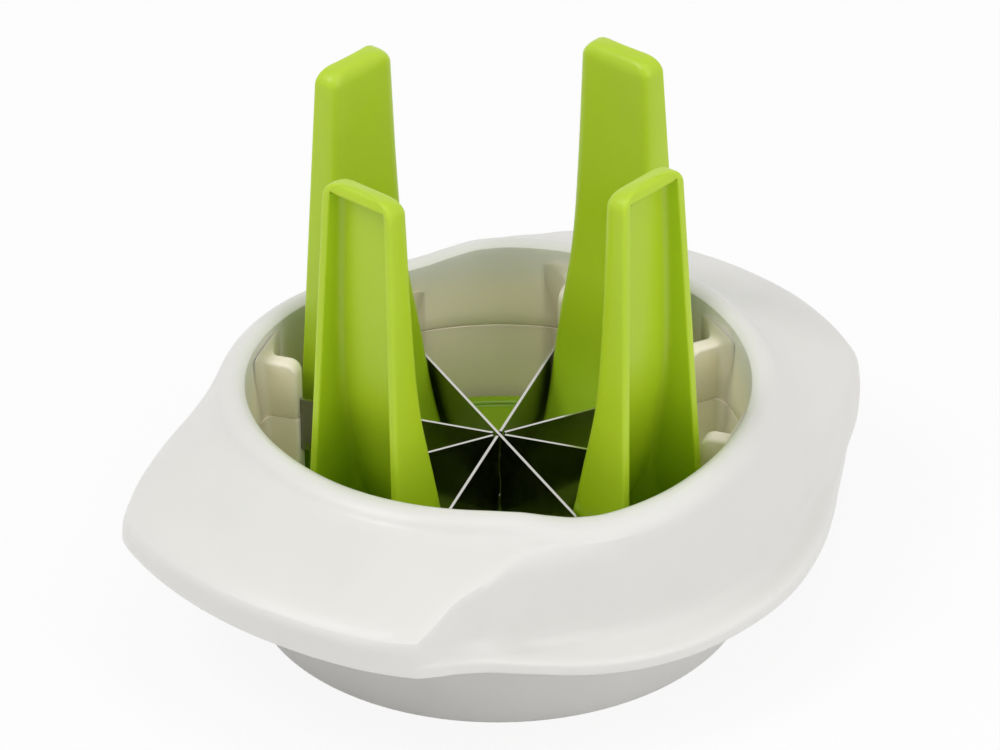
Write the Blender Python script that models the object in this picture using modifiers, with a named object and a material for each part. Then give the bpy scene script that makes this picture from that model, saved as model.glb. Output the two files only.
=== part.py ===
"""Push-down lemon wedger. A green holder stands on the table with four channel-shaped
fingers. A white ring in two mouldings, with two swirled wings as handles, clamps four
crossed blades and slides straight down over the fingers.

Metres, +Z up. The table is z = 0, the slide axis is the Z axis and the wing tips lie
along X. Angles are in degrees, counter-clockwise from above. Radii are from the Z axis.
"""
import bisect
import math

import bmesh
import bpy
from mathutils import Matrix, Vector

MM = 0.001

# Clearances
GAP = 0.3 * MM                   # between pieces that touch
OVERRUN = 2.0 * MM               # how far a cutter runs past the faces it cuts
OVERLAP = 0.8 * MM               # how deep a rib, post or finger sinks into its wall
MERGE = 0.005 * MM

# Slide and levels
PARTING_HEIGHT = 25.4 * MM       # underside of the upper ring
RIM_RISE = 15.2 * MM             # of the rim's highest point, above the parting line
RIM_DIP = 2.9 * MM               # how far the rim dips between the wings
BRIM_HEIGHT = 15.6 * MM          # lowest underside of the brim

# Upper ring, its section from the bore outwards
BORE_FOOT_RADIUS = 39.6 * MM
BORE_FLARE = 0.8 * MM            # from the bore's foot to its mouth
BORE_MOUTH_DROP = 0.8 * MM       # below the rim's top
RIM_INNER_WIDTH = 1.8 * MM       # from the mouth to the top of the rim
RIM_OUTER_WIDTH = 2.0 * MM       # from there to the rim's outer bend
RIM_OUTER_DROP = 0.9 * MM
SHOULDER_WIDTH = 1.2 * MM
SHOULDER_DROP = 2.6 * MM
WING_LENGTH = 19.1 * MM          # from the shoulder to a wing's edge
BRIM_THICKNESS = 2.4 * MM
SHELL_WALL = 2.2 * MM
BRIM_FOOT_WIDTH = 1.8 * MM       # flat edge under the brim, less than the wall
BORE_TUBE_WALL = 2.0 * MM        # wall of the inner tube, at its foot
GROOVE_RISE = 0.4 * MM           # floor of the groove above the brim's top
GROOVE_FLOOR_SHARE = 0.2         # its place between the groove's edge and the brim's
GROOVE_DEPTH_SHARE = 0.7         # lowest share of the way down from that edge to the brim
SOFT_BORE = 0.5 * MM             # how far each bend of the section is rounded
SOFT_RIM = 1.2 * MM
SOFT_EDGE = 2.2 * MM
SOFT_GROOVE = 2.4 * MM
SOFT_BRIM = 1.0 * MM

# The rim's dip below its highest point, by angle from a wing tip
RIM_SHARES = (
    (0, 0.10), (12, 0.05), (28, 0.07), (45, 0.03), (60, 0.0), (68, 0.12), (75, 0.50),
    (81, 0.84), (88, 1.0), (102, 0.88), (116, 0.64), (131, 0.45), (145, 0.31), (160, 0.20),
)
# The swirl's edge, by angle from its wing tip: the groove's upper edge, then the wing's
# edge, then the crease that runs up into the shoulder. Share of the way out from the
# shoulder to the wing, and of the way up from the brim to the rim.
SWIRL_SHARES = (
    (-117, 0.45, 0.27), (-109, 0.29, 0.21), (-95, 0.165, 0.18), (-80, 0.135, 0.17),
    (-60, 0.135, 0.19), (-49, 0.14, 0.255), (-43, 0.155, 0.335), (-36, 0.20, 0.43),
    (-27, 0.38, 0.495), (-19, 0.56, 0.508), (-10, 0.80, 0.51), (-2, 0.985, 0.525),
    (6, 1.0, 0.565), (15, 1.0, 0.595), (32, 1.0, 0.605), (48, 1.0, 0.585),
    (52.7, 0.98, 0.588), (53.5, 0.906, 0.612), (54.7, 0.807, 0.643), (56.1, 0.678, 0.683),
    (57.1, 0.603, 0.707), (58.5, 0.527, 0.731), (60, 0.474, 0.747), (61.6, 0.415, 0.764),
    (63, 0.357, 0.781), (66, 0.245, 0.808), (70, 0.135, 0.832), (76, 0.06, 0.815),
    (90, 0.015, 0.76),
)
# The brim's lower edge, by angle from a wing tip, in the same shares
BRIM_SHARES = (
    (0, 1.0, 0.36), (15, 1.0, 0.375), (30, 1.0, 0.368), (45, 1.0, 0.342),
    (52, 0.99, 0.332), (55, 0.90, 0.31), (58, 0.76, 0.27), (63, 0.63, 0.22),
    (71, 0.54, 0.145), (77, 0.49, 0.085), (84, 0.452, 0.035), (92, 0.45, 0.01),
    (100, 0.45, 0.0), (120, 0.45, 0.0), (132, 0.45, 0.024), (141, 0.455, 0.048),
    (150, 0.48, 0.076), (162, 0.61, 0.13), (170, 0.83, 0.225), (176, 0.97, 0.32),
)
# Where the section's two upper bends lie between their neighbours while neither is an
# edge: the upper one between the shoulder and the swirl's edge, the lower one between
# the swirl's edge and the brim's top
UPPER_BEND_SHARES = ((90, 0.06), (120, 0.30), (150, 0.62), (172, 0.93), (180, 0.97))
LOWER_BEND_SHARES = ((0, 0.0), (10, 0.14), (45, 0.38), (63, 0.45))
CREASE_END_ANGLE = 90
WING_START_ANGLE = 10
WING_END_ANGLE = 54
GROOVE_START_ANGLE = 68
HALF_TURN = 180
# Stations round the ring, as runs (from, to, steps): closer at the crease
STATION_RUNS = ((0, 46, 9), (46, 66, 15), (66, 150, 17), (150, 180, 9))
# Steps between the section's bends: bore, rim's inner and outer halves, shoulder, top,
# between the upper bends, groove wall, groove floor, brim edge
SECTION_STEPS = (2, 2, 2, 2, 3, 2, 2, 2, 2)
HOLLOW_STEPS = 9
HOLLOW_SAMPLES = 4
SMOOTHING_SAMPLES = 12

# Ribs that hold the blades
RIB_THICKNESS = 3.0 * MM
RIB_LENGTH = 5.5 * MM            # from the bore inwards
TALL_RIB_RISE = 9.9 * MM         # above the parting line
LOW_RIB_RISE = 5.0 * MM
RIB_CORNER = 1.8 * MM
RIB_CORNER_STEPS = 4
TALL_RIB_ANGLES = (0, 45, 135, 315)
LOW_RIB_ANGLES = (90, 180, 225, 270)
SLOT_SIDE_CLEARANCE = 0.3 * MM

# Blades
BLADE_THICKNESS = 0.45 * MM
BLADE_END_COVER = 1.0 * MM       # between a blade's end and the bore's wall
BLADE_RISE = 3.1 * MM            # above the parting line
BLADE_DEPTH = 9.6 * MM           # at its ends, in the ribs
BLADE_POINT = 5.8 * MM           # how much deeper it is at its middle
BLADE_END_LENGTH = 5.1 * MM      # of the part whose edges run parallel
BLADE_GRIND = 1.6 * MM           # height of the ground cutting edge
BLADE_EDGE = 0.05 * MM
BLADE_TONGUE_GAP = 0.3 * MM      # between crossing tongues
BLADE_NOTCH_HALF_WIDTH = 1.05 * MM
NARROW_NOTCH_HALF_WIDTH = 0.75 * MM
BLADE_ANGLES = {"blade_a": 90, "blade_b": 45, "blade_c": 135, "blade_d": 0}

# Lower ring
SKIRT_TAPER = 0.7 * MM           # of the bore, down to the skirt's foot
SKIRT_WALL = 1.6 * MM            # at the foot
COLLAR_STEP = 0.3 * MM           # how far the collar stands out from the tube above it
COLLAR_FOOT_HEIGHT = 16.0 * MM
SKIRT_EDGE = 0.6 * MM
RING_STEPS = 72

# Screw joints between the two rings, under the wings
SCREW_ANGLES = (12, 38, 192, 218)
SCREW_OFFSET = 6.6 * MM          # from the shoulder
LUG_WIDTH = 8.0 * MM
LUG_THICKNESS = 2.4 * MM
LUG_RISE = 3.5 * MM              # above the parting line
LUG_ROOT_THICKNESS = 2.3 * MM
LUG_END = 3.6 * MM               # past the screw's axis
LUG_RISER_WIDTH = 2.2 * MM
POST_RADIUS = 3.0 * MM
POST_STEPS = 20
SCREW_SHANK_RADIUS = 1.3 * MM
SCREW_HEAD_RADIUS = 2.75 * MM
SCREW_HEAD_THICKNESS = 1.6 * MM
SCREW_HEAD_CROWN = 0.5 * MM
SCREW_LENGTH = 5.6 * MM          # under the head
SCREW_TIP = 1.0 * MM
SCREW_CLEARANCE = 0.3 * MM
SCREW_STEPS = 16
DRIVE_LENGTH = 3.0 * MM
DRIVE_WIDTH = 0.7 * MM
DRIVE_DEPTH = 0.8 * MM

# Holder: disc
HOLDER_CLEARANCE = 0.9 * MM      # inside the skirt's foot
HOLDER_RIM_WIDTH = 2.0 * MM
HOLDER_RIM_RISE = 0.8 * MM       # above the floor
HOLDER_SKIRT_WALL = 1.8 * MM
HOLDER_FLOOR_HEIGHT = 11.7 * MM
HOLDER_FLOOR_THICKNESS = 1.8 * MM
HOLDER_EDGE = 0.6 * MM
REST_GAP = GAP                   # under the ribs when the ring is pressed right down

# Holder: fingers
FINGER_ANGLES = (22.5, 112.5, 202.5, 292.5)
FINGER_TOP_HEIGHT = 86.5 * MM
FINGER_FOOT_INNER = 11.0 * MM    # web's inner face at the floor
FINGER_TOP_DEPTH = 4.25 * MM     # from the web's inner face to the flanges' tips
FINGER_TAPER = 3.2 * MM          # of the flanges' tips, from the foot to the top
FINGER_RIM_GAP = 0.7 * MM        # from their foot to the holder's rim
FINGER_FOOT_WIDTH_SHARE = 0.718  # of the sector between two blades, at the tips
FINGER_TOP_WIDTH_SHARE = 0.5265
FINGER_WALL = 1.5 * MM
FINGER_CAP = 2.1 * MM
FINGER_BLADE_CLEARANCE = 0.55 * MM
FINGER_EDGE = 1.0 * MM
FINGER_LIP = 0.6 * MM            # length of the rounding on a flange's tip
FINGER_LIP_WIDTH = 1.2 * MM      # and how much of the flange's wall it takes
FINGER_TOP_ROUND = 2.6 * MM      # height of the rounding round the top
FINGER_TOP_FACE_ROUND = 1.8 * MM # how far it draws in the inner face
FINGER_TOP_SIDE_ROUND = 3.0 * MM # the sides
FINGER_TOP_BACK_ROUND = 0.8 * MM # and the back
FINGER_CHANNEL_EDGE = 0.7 * MM
# The web's inner face from top to foot: share of the height above the floor, and share
# of the way in from its place at the top
FINGER_WEB_SHARES = (
    (0.0, 1.0), (0.024, 0.885), (0.058, 0.75), (0.112, 0.55), (0.166, 0.407), (0.219, 0.30),
    (0.273, 0.228), (0.341, 0.169), (0.408, 0.11), (0.489, 0.05), (0.596, 0.015),
    (0.785, 0.0), (1.0, 0.0),
)
# Heights of the finger's sections, and how far its top rounding has turned in each
FINGER_LEVEL_SHARES = (0.0, 0.024, 0.058, 0.112, 0.166, 0.219, 0.273, 0.341, 0.408, 0.489,
                       0.596, 0.785)
FINGER_TURN_SHARES = (0.0, 0.4, 0.75, 1.0)
FINGER_BEND_SHARE = 0.2          # how much of a side a corner's rounding takes
FINGER_BEND_STEPS = 3
FINGER_LIP_STEPS = 3


# Measures that follow from the sizes above

BORE_MOUTH_RADIUS = BORE_FOOT_RADIUS + BORE_FLARE
RIM_TOP_RADIUS = BORE_MOUTH_RADIUS + RIM_INNER_WIDTH
RIM_OUTER_RADIUS = RIM_TOP_RADIUS + RIM_OUTER_WIDTH
SHOULDER_RADIUS = RIM_OUTER_RADIUS + SHOULDER_WIDTH
WING_RADIUS = SHOULDER_RADIUS + WING_LENGTH
TUBE_RADIUS = BORE_FOOT_RADIUS + BORE_TUBE_WALL
RIB_INNER_RADIUS = BORE_FOOT_RADIUS - RIB_LENGTH
BLADE_REACH = BORE_FOOT_RADIUS - BLADE_END_COVER
SKIRT_FOOT_INNER_RADIUS = BORE_FOOT_RADIUS - SKIRT_TAPER
SKIRT_FOOT_OUTER_RADIUS = SKIRT_FOOT_INNER_RADIUS + SKIRT_WALL
COLLAR_OUTER_RADIUS = TUBE_RADIUS + COLLAR_STEP
SCREW_RADIUS = SHOULDER_RADIUS + SCREW_OFFSET
HOLDER_RADIUS = SKIRT_FOOT_INNER_RADIUS - HOLDER_CLEARANCE
HALF_SECTOR = math.radians(HALF_TURN / len(BLADE_ANGLES) / 2)
FINGER_FOOT_OUTER = HOLDER_RADIUS - HOLDER_RIM_WIDTH - FINGER_RIM_GAP
FINGER_TOP_OUTER = FINGER_FOOT_OUTER - FINGER_TAPER
FINGER_TOP_INNER = FINGER_TOP_OUTER - FINGER_TOP_DEPTH
FINGER_FOOT_HALF_WIDTH = FINGER_FOOT_OUTER * math.tan(HALF_SECTOR) * FINGER_FOOT_WIDTH_SHARE
FINGER_TOP_HALF_WIDTH = FINGER_TOP_OUTER * math.tan(HALF_SECTOR) * FINGER_TOP_WIDTH_SHARE
RIM_HEIGHT = PARTING_HEIGHT + RIM_RISE
TALL_RIB_TOP_HEIGHT = PARTING_HEIGHT + TALL_RIB_RISE
LOW_RIB_TOP_HEIGHT = PARTING_HEIGHT + LOW_RIB_RISE
BLADE_TOP_HEIGHT = PARTING_HEIGHT + BLADE_RISE
BLADE_BOTTOM_HEIGHT = BLADE_TOP_HEIGHT - BLADE_DEPTH
BLADE_POINT_HEIGHT = BLADE_BOTTOM_HEIGHT - BLADE_POINT
LUG_TOP_HEIGHT = PARTING_HEIGHT + LUG_RISE
COLLAR_TOP_HEIGHT = PARTING_HEIGHT - GAP
HOLDER_RIM_HEIGHT = HOLDER_FLOOR_HEIGHT + HOLDER_RIM_RISE
RIB_BOTTOM_HEIGHT = HOLDER_RIM_HEIGHT + REST_GAP
LUG_RISER_RADIUS = max(TUBE_RADIUS, COLLAR_OUTER_RADIUS) + GAP
LUG_BOTTOM_HEIGHT = LUG_TOP_HEIGHT - LUG_THICKNESS
SLOT_WIDTH = BLADE_THICKNESS + 2 * SLOT_SIDE_CLEARANCE
SLOT_REACH = BLADE_REACH + GAP


def lerp(start, end, share):
    return start + (end - start) * share


def ease(share):
    """Runs from 0 to 1 with no corner at either end."""
    share = min(max(share, 0.0), 1.0)
    return share * share * (3.0 - 2.0 * share)


def repeated(table):
    """A table over half a turn, with its rows repeated on both sides."""
    return [(row[0] + turn,) + row[1:] for turn in (-HALF_TURN, 0, HALF_TURN) for row in table]


def read_curve(table, place, column=1):
    """Reads one column at a place, on a smooth curve through the rows that never overshoots."""
    places = [row[0] for row in table]
    place = min(max(place, places[0]), places[-1])
    after = min(max(bisect.bisect_right(places, place), 1), len(table) - 1)
    rises = [(table[i + 1][column] - table[i][column]) / (places[i + 1] - places[i])
             for i in range(len(table) - 1)]

    def slope(row):
        if row in (0, len(table) - 1):
            return rises[min(row, len(rises) - 1)]
        before, behind = rises[row - 1], rises[row]
        return 2.0 * before * behind / (before + behind) if before * behind > 0.0 else 0.0

    span = places[after] - places[after - 1]
    share = (place - places[after - 1]) / span
    start, end = table[after - 1][column], table[after][column]
    bulge = share * (1.0 - share) * span
    return (lerp(start, end, ease(share))
            + bulge * ((1.0 - share) * slope(after - 1) - share * slope(after)))


# Section of the upper ring

def swirl_point(radius_share, height_share):
    return Vector((lerp(SHOULDER_RADIUS, WING_RADIUS, radius_share),
                   lerp(BRIM_HEIGHT, RIM_HEIGHT, height_share)))


def swirl_edge(angle_from_tip):
    return swirl_point(read_curve(SWIRL_SHARES, angle_from_tip, 1),
                       read_curve(SWIRL_SHARES, angle_from_tip, 2))


def section_bends(angle):
    """The section's bends from the bore's foot to the brim's lower edge, as (radius, height)."""
    angle = angle % HALF_TURN
    rim = RIM_HEIGHT - RIM_DIP * read_curve(repeated(RIM_SHARES), angle)
    brim_rows = repeated(BRIM_SHARES)
    brim_foot = swirl_point(read_curve(brim_rows, angle, 1), read_curve(brim_rows, angle, 2))
    brim_top = brim_foot + Vector((0, BRIM_THICKNESS))
    shoulder = Vector((SHOULDER_RADIUS, rim - SHOULDER_DROP))

    groove_edge = swirl_edge(angle - HALF_TURN)
    wing_edge = swirl_edge(angle)
    if angle >= CREASE_END_ANGLE:
        upper = shoulder.lerp(groove_edge, read_curve(UPPER_BEND_SHARES, angle))
    else:
        risen = ease(angle / WING_START_ANGLE)
        upper = shoulder.lerp(wing_edge, lerp(UPPER_BEND_SHARES[-1][1], 1.0, risen))
    if angle >= GROOVE_START_ANGLE:
        lower = groove_edge
    else:
        on_band = wing_edge.lerp(brim_top, read_curve(LOWER_BEND_SHARES, angle))
        turned = (angle - WING_END_ANGLE) / (GROOVE_START_ANGLE - WING_END_ANGLE)
        lower = on_band.lerp(groove_edge, ease(turned))
    floor = Vector((lerp(lower.x, brim_top.x, GROOVE_FLOOR_SHARE),
                    min(brim_top.y + GROOVE_RISE,
                        lerp(lower.y, brim_top.y, GROOVE_DEPTH_SHARE))))
    return [
        Vector((BORE_FOOT_RADIUS, PARTING_HEIGHT)),
        Vector((BORE_MOUTH_RADIUS, rim - BORE_MOUTH_DROP)),
        Vector((RIM_TOP_RADIUS, rim)),
        Vector((RIM_OUTER_RADIUS, rim - RIM_OUTER_DROP)),
        shoulder, upper, lower, floor, brim_top, brim_foot,
    ]


SECTION_SOFTNESS = (0, SOFT_BORE, SOFT_RIM, SOFT_RIM, SOFT_RIM, SOFT_EDGE, SOFT_EDGE,
                    SOFT_GROOVE, SOFT_BRIM, 0)


def softened(bends, softness, steps):
    """Points along a line of bends, each bend rounded over its softness on both sides."""
    stops = [0.0]
    for start, end in zip(bends, bends[1:]):
        stops.append(stops[-1] + (end - start).length)

    def along(distance):
        i = min(max(bisect.bisect_right(stops, distance), 1), len(stops) - 1)
        span = stops[i] - stops[i - 1]
        return bends[i - 1].lerp(bends[i], (distance - stops[i - 1]) / span if span else 0.0)

    offsets = [(2 * k + 1) / SMOOTHING_SAMPLES - 1 for k in range(SMOOTHING_SAMPLES)]
    points = []
    for i, count in enumerate(steps):
        for k in range(count):
            distance = lerp(stops[i], stops[i + 1], k / count)
            reach = min(lerp(softness[i], softness[i + 1], k / count),
                        distance, stops[-1] - distance)
            total = Vector((0, 0))
            for offset in offsets:
                total += along(distance + reach * offset)
            points.append(total / SMOOTHING_SAMPLES)
    return points + [bends[-1].copy()]


def hollow_height(outline, radius, wall):
    """Height of the shell's underside at a radius, one wall inside the outline."""
    lowest = math.inf
    for start, end in zip(outline, outline[1:]):
        for k in range(HOLLOW_SAMPLES):
            point = start.lerp(end, k / HOLLOW_SAMPLES)
            side = abs(point.x - radius)
            if side < wall:
                lowest = min(lowest, point.y - math.sqrt(wall * wall - side * side))
    return lowest


def ring_section(angle):
    """Closed outline of the upper ring at an angle: outside, brim's foot, underside, tube."""
    bends = section_bends(angle)
    outline = softened(bends, SECTION_SOFTNESS, SECTION_STEPS)
    roof = outline[SECTION_STEPS[0] + SECTION_STEPS[1]:]
    foot = bends[-1]
    section = list(outline)
    section.append(Vector((foot.x - BRIM_FOOT_WIDTH, foot.y)))
    for k in range(HOLLOW_STEPS + 1):
        radius = lerp(foot.x - SHELL_WALL, TUBE_RADIUS, k / HOLLOW_STEPS)
        height = hollow_height(roof, radius, SHELL_WALL)
        section.append(Vector((radius, max(height, foot.y + MERGE))))
    section.append(Vector((TUBE_RADIUS, PARTING_HEIGHT)))
    return section


def outer_height(angle, radius):
    """Height of the upper ring's outer surface."""
    outline = softened(section_bends(angle), SECTION_SOFTNESS, SECTION_STEPS)
    for start, end in zip(outline, outline[1:]):
        if start.x <= radius <= end.x and end.x > start.x:
            return lerp(start.y, end.y, (radius - start.x) / (end.x - start.x))
    return outline[-1].y


# Scene and mesh helpers

def collection(name):
    made = bpy.data.collections.new(name)
    bpy.context.scene.collection.children.link(made)
    return made


def add_object(name, mesh, home):
    made = bpy.data.objects.new(name, mesh)
    home.objects.link(made)
    return made


def mesh_from(name, work):
    bmesh.ops.recalc_face_normals(work, faces=work.faces)
    mesh = bpy.data.meshes.new(name)
    work.to_mesh(mesh)
    work.free()
    return mesh


def loft(name, rings, closed):
    """Skins rings of points that match one to one: closed into a loop, or capped."""
    work = bmesh.new()
    rows = [[work.verts.new(point) for point in ring] for ring in rings]
    pairs = list(zip(rows, rows[1:]))
    if closed:
        pairs.append((rows[-1], rows[0]))
    for first, second in pairs:
        for k in range(len(first)):
            after = (k + 1) % len(first)
            work.faces.new((first[k], first[after], second[after], second[k]))
    if not closed:
        work.faces.new(rows[0])
        work.faces.new(rows[-1])
    return mesh_from(name, work)


def prism(name, outline, half_length, home):
    """A flat outline in the XY plane, given thickness along Z, as a mesh object."""
    curve = bpy.data.curves.new(name, "CURVE")
    curve.dimensions = "2D"
    curve.fill_mode = "BOTH"
    curve.extrude = half_length
    spline = curve.splines.new("POLY")
    spline.points.add(len(outline) - 1)
    for point, (x, y) in zip(spline.points, outline):
        point.co = (x, y, 0, 1)
    spline.use_cyclic_u = True
    guide = add_object(name + "_outline", curve, home)
    bpy.context.view_layer.update()
    solid = guide.evaluated_get(bpy.context.evaluated_depsgraph_get())
    mesh = bpy.data.meshes.new_from_object(solid)
    bpy.data.objects.remove(guide)
    bpy.data.curves.remove(curve)
    work = bmesh.new()
    work.from_mesh(mesh)
    bmesh.ops.remove_doubles(work, verts=work.verts, dist=MERGE)
    bmesh.ops.recalc_face_normals(work, faces=work.faces)
    work.to_mesh(mesh)
    work.free()
    mesh.name = name
    return add_object(name, mesh, home)


def box(name, size, centre, home):
    work = bmesh.new()
    bmesh.ops.create_cube(work, size=1.0)
    bmesh.ops.scale(work, vec=size, verts=work.verts)
    bmesh.ops.translate(work, vec=centre, verts=work.verts)
    return add_object(name, mesh_from(name, work), home)


def cylinder(name, radius, foot, top, steps, home):
    work = bmesh.new()
    bmesh.ops.create_cone(work, cap_ends=True, segments=steps, radius1=radius,
                          radius2=radius, depth=top - foot)
    bmesh.ops.translate(work, vec=(0, 0, (top + foot) / 2), verts=work.verts)
    return add_object(name, mesh_from(name, work), home)


def turned(name, profile, steps, closed, home):
    """Turns a profile of (radius, height) points round Z. It runs down its outer side."""
    mesh = bpy.data.meshes.new(name)
    points = [(radius, 0, height) for radius, height in profile]
    edges = [(k, k + 1) for k in range(len(points) - 1)]
    if closed:
        edges.append((len(points) - 1, 0))
    mesh.from_pydata(points, edges, [])
    made = add_object(name, mesh, home)
    screw = made.modifiers.new("turn", "SCREW")
    screw.steps = steps
    screw.render_steps = steps
    screw.use_merge_vertices = True
    screw.merge_threshold = MERGE
    screw.use_smooth_shade = True
    return made


def combine(target, operand, operation):
    boolean = target.modifiers.new(operand.name, "BOOLEAN")
    boolean.object = operand
    boolean.operation = operation
    boolean.solver = "EXACT"


def at_angle(made, angle, radius=0.0, height=0.0):
    """Turns an object about the slide axis, and moves it out along its angle."""
    turn = math.radians(angle)
    made.location = (radius * math.cos(turn), radius * math.sin(turn), height)
    made.rotation_euler = (0, 0, turn)
    return made


def stood_up(made):
    """Turns a prism's outline from the XY plane up into the XZ plane, in its mesh."""
    made.data.transform(Matrix.Rotation(math.radians(90), 4, "X"))
    return made


def smooth(mesh, sharp_angle=35):
    mesh.shade_smooth()
    mesh.set_sharp_from_angle(angle=math.radians(sharp_angle))


def material(name, colour, roughness, metallic=0.0):
    made = bpy.data.materials.new(name)
    made.use_nodes = True
    shader = made.node_tree.nodes["Principled BSDF"]
    shader.inputs["Base Color"].default_value = (*colour, 1)
    shader.inputs["Roughness"].default_value = roughness
    shader.inputs["Metallic"].default_value = metallic
    made.diffuse_color = (*colour, 1)
    return made


def green_plastic():
    return material("green_plastic", (0.36, 0.52, 0.03), 0.3)


def white_plastic():
    return material("white_plastic", (0.80, 0.79, 0.77), 0.35)


def blade_steel():
    return material("blade_steel", (0.55, 0.54, 0.52), 0.2, 1.0)


def screw_steel():
    return material("screw_steel", (0.62, 0.62, 0.62), 0.3, 1.0)


# Fingers of the holder

def finger_share(height):
    return (height - HOLDER_FLOOR_HEIGHT) / (FINGER_TOP_HEIGHT - HOLDER_FLOOR_HEIGHT)


def web_inner(height):
    share = read_curve(FINGER_WEB_SHARES, min(max(finger_share(height), 0.0), 1.0))
    return lerp(FINGER_TOP_INNER, FINGER_FOOT_INNER, share)


def web_outer(height):
    """Back of the web, so that the wall keeps its thickness where the web slants."""
    rise = FINGER_WALL / 2
    slant = (web_inner(height + rise) - web_inner(height)) / rise
    return web_inner(height) + FINGER_WALL * math.hypot(1.0, slant)


def rounded(corner, before, after, steps):
    """Points that round a corner, starting and ending part of the way to its neighbours."""
    start = corner.lerp(before, FINGER_BEND_SHARE)
    end = corner.lerp(after, FINGER_BEND_SHARE)
    points = []
    for k in range(steps + 1):
        t = k / steps
        points.append(start * (1 - t) ** 2 + corner * (2 * t * (1 - t)) + end * t * t)
    return points


def wedge_corners(inner, half_width, edge, side_clearance):
    """The web's two corners on one side, kept clear of the blade beside the finger."""
    narrow = min(half_width - edge, inner * math.tan(HALF_SECTOR) - side_clearance)
    wide = max(inner + edge, (half_width + side_clearance) / math.tan(HALF_SECTOR))
    return Vector((inner, narrow)), Vector((wide, half_width))


def side_clearance(wall=0.0):
    """Offset across the finger from the blade's mid-plane, for a face one wall inside."""
    return (BLADE_THICKNESS / 2 + FINGER_BLADE_CLEARANCE + wall) / math.cos(HALF_SECTOR)


def mirrored(half, height):
    points = half + [Vector((point.x, -point.y)) for point in reversed(half)]
    return [Vector((point.x, point.y, height)) for point in points]


def finger_ring(height, drawn_in):
    """Outline of the whole finger at a height. At its top it is drawn in, by a share of
    its rounding."""
    share = finger_share(height)
    half_width = lerp(FINGER_FOOT_HALF_WIDTH, FINGER_TOP_HALF_WIDTH, share)
    half_width -= FINGER_TOP_SIDE_ROUND * drawn_in
    inner = web_inner(height) + FINGER_TOP_FACE_ROUND * drawn_in
    outer = lerp(FINGER_FOOT_OUTER, FINGER_TOP_OUTER, share) - FINGER_TOP_BACK_ROUND * drawn_in
    narrow, wide = wedge_corners(inner, half_width, FINGER_EDGE, side_clearance())
    tip = Vector((outer - FINGER_LIP, half_width))
    half = rounded(narrow, Vector((inner, 0)), wide, FINGER_BEND_STEPS)
    half += rounded(wide, narrow, tip, FINGER_BEND_STEPS)
    for k in range(FINGER_LIP_STEPS + 1):
        turn = math.radians(90) * k / FINGER_LIP_STEPS
        half.append(Vector((tip.x + FINGER_LIP * math.sin(turn),
                            half_width - FINGER_LIP_WIDTH * (1 - math.cos(turn)))))
    return mirrored(half, height)


def channel_ring(height, section_height):
    """Outline of the channel in the finger's back, drawn as it is at the section's height."""
    share = finger_share(section_height)
    half_width = lerp(FINGER_FOOT_HALF_WIDTH, FINGER_TOP_HALF_WIDTH, share) - FINGER_WALL
    outer = lerp(FINGER_FOOT_OUTER, FINGER_TOP_OUTER, share) + OVERRUN
    inner = web_outer(section_height)
    narrow, wide = wedge_corners(inner, half_width, FINGER_CHANNEL_EDGE,
                                 side_clearance(FINGER_WALL))
    back = Vector((outer, half_width))
    half = rounded(narrow, Vector((inner, 0)), wide, FINGER_BEND_STEPS)
    half += rounded(wide, narrow, back, 1) + [back]
    return mirrored(half, height)


def make_finger_mesh(cutters):
    """One finger along +X: its outer form with the channel cut from its back."""
    levels = [lerp(HOLDER_FLOOR_HEIGHT, FINGER_TOP_HEIGHT, share) for share in FINGER_LEVEL_SHARES]
    rings = [finger_ring(HOLDER_FLOOR_HEIGHT - OVERLAP, 0)]
    rings += [finger_ring(height, 0) for height in levels]
    for share in FINGER_TURN_SHARES:
        turn = math.radians(90) * share
        height = FINGER_TOP_HEIGHT - FINGER_TOP_ROUND * (1 - math.sin(turn))
        rings.append(finger_ring(height, 1 - math.cos(turn)))
    form = add_object("finger_form", loft("finger_form", rings, False), cutters)

    ceiling = FINGER_TOP_HEIGHT - FINGER_CAP
    rings = [channel_ring(height, height) for height in levels + [ceiling]]
    channel = add_object("finger_channel", loft("finger_channel", rings, False), cutters)
    combine(form, channel, "DIFFERENCE")
    bpy.context.view_layer.update()
    solid = form.evaluated_get(bpy.context.evaluated_depsgraph_get())
    mesh = bpy.data.meshes.new_from_object(solid)
    mesh.name = "finger"
    bpy.data.objects.remove(form)
    bpy.data.objects.remove(channel)
    return mesh


# Pieces

def make_holder(parts, cutters, green):
    floor = HOLDER_FLOOR_HEIGHT
    underside = floor - HOLDER_FLOOR_THICKNESS
    rim = HOLDER_RIM_HEIGHT
    inner = HOLDER_RADIUS - HOLDER_RIM_WIDTH
    profile = [
        (0, floor), (inner - HOLDER_EDGE, floor), (inner, rim - HOLDER_EDGE / 2),
        (inner + HOLDER_EDGE / 2, rim), (HOLDER_RADIUS - HOLDER_EDGE, rim),
        (HOLDER_RADIUS, rim - HOLDER_EDGE), (HOLDER_RADIUS, 0),
        (HOLDER_RADIUS - HOLDER_SKIRT_WALL, 0),
        (HOLDER_RADIUS - HOLDER_SKIRT_WALL, underside), (0, underside),
    ]
    holder = turned("holder", profile, RING_STEPS, False, parts)
    mesh = make_finger_mesh(cutters)
    for k, angle in enumerate(FINGER_ANGLES):
        finger = at_angle(add_object("finger_%d" % (k + 1), mesh, cutters), angle)
        combine(holder, finger, "UNION")
    holder.data.materials.append(green)
    return holder


def rib_outline(foot, top, corner):
    """A rib's side view, from its inner edge to inside the ring's wall."""
    outside = BORE_FOOT_RADIUS + OVERLAP
    outline = [(outside, foot), (outside, top)]
    for k in range(RIB_CORNER_STEPS + 1 if corner else 1):
        turn = math.radians(90) * k / RIB_CORNER_STEPS
        outline.append((RIB_INNER_RADIUS + corner * (1 - math.sin(turn)),
                        top - corner * (1 - math.cos(turn))))
    outline.append((RIB_INNER_RADIUS, foot))
    return outline


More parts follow.
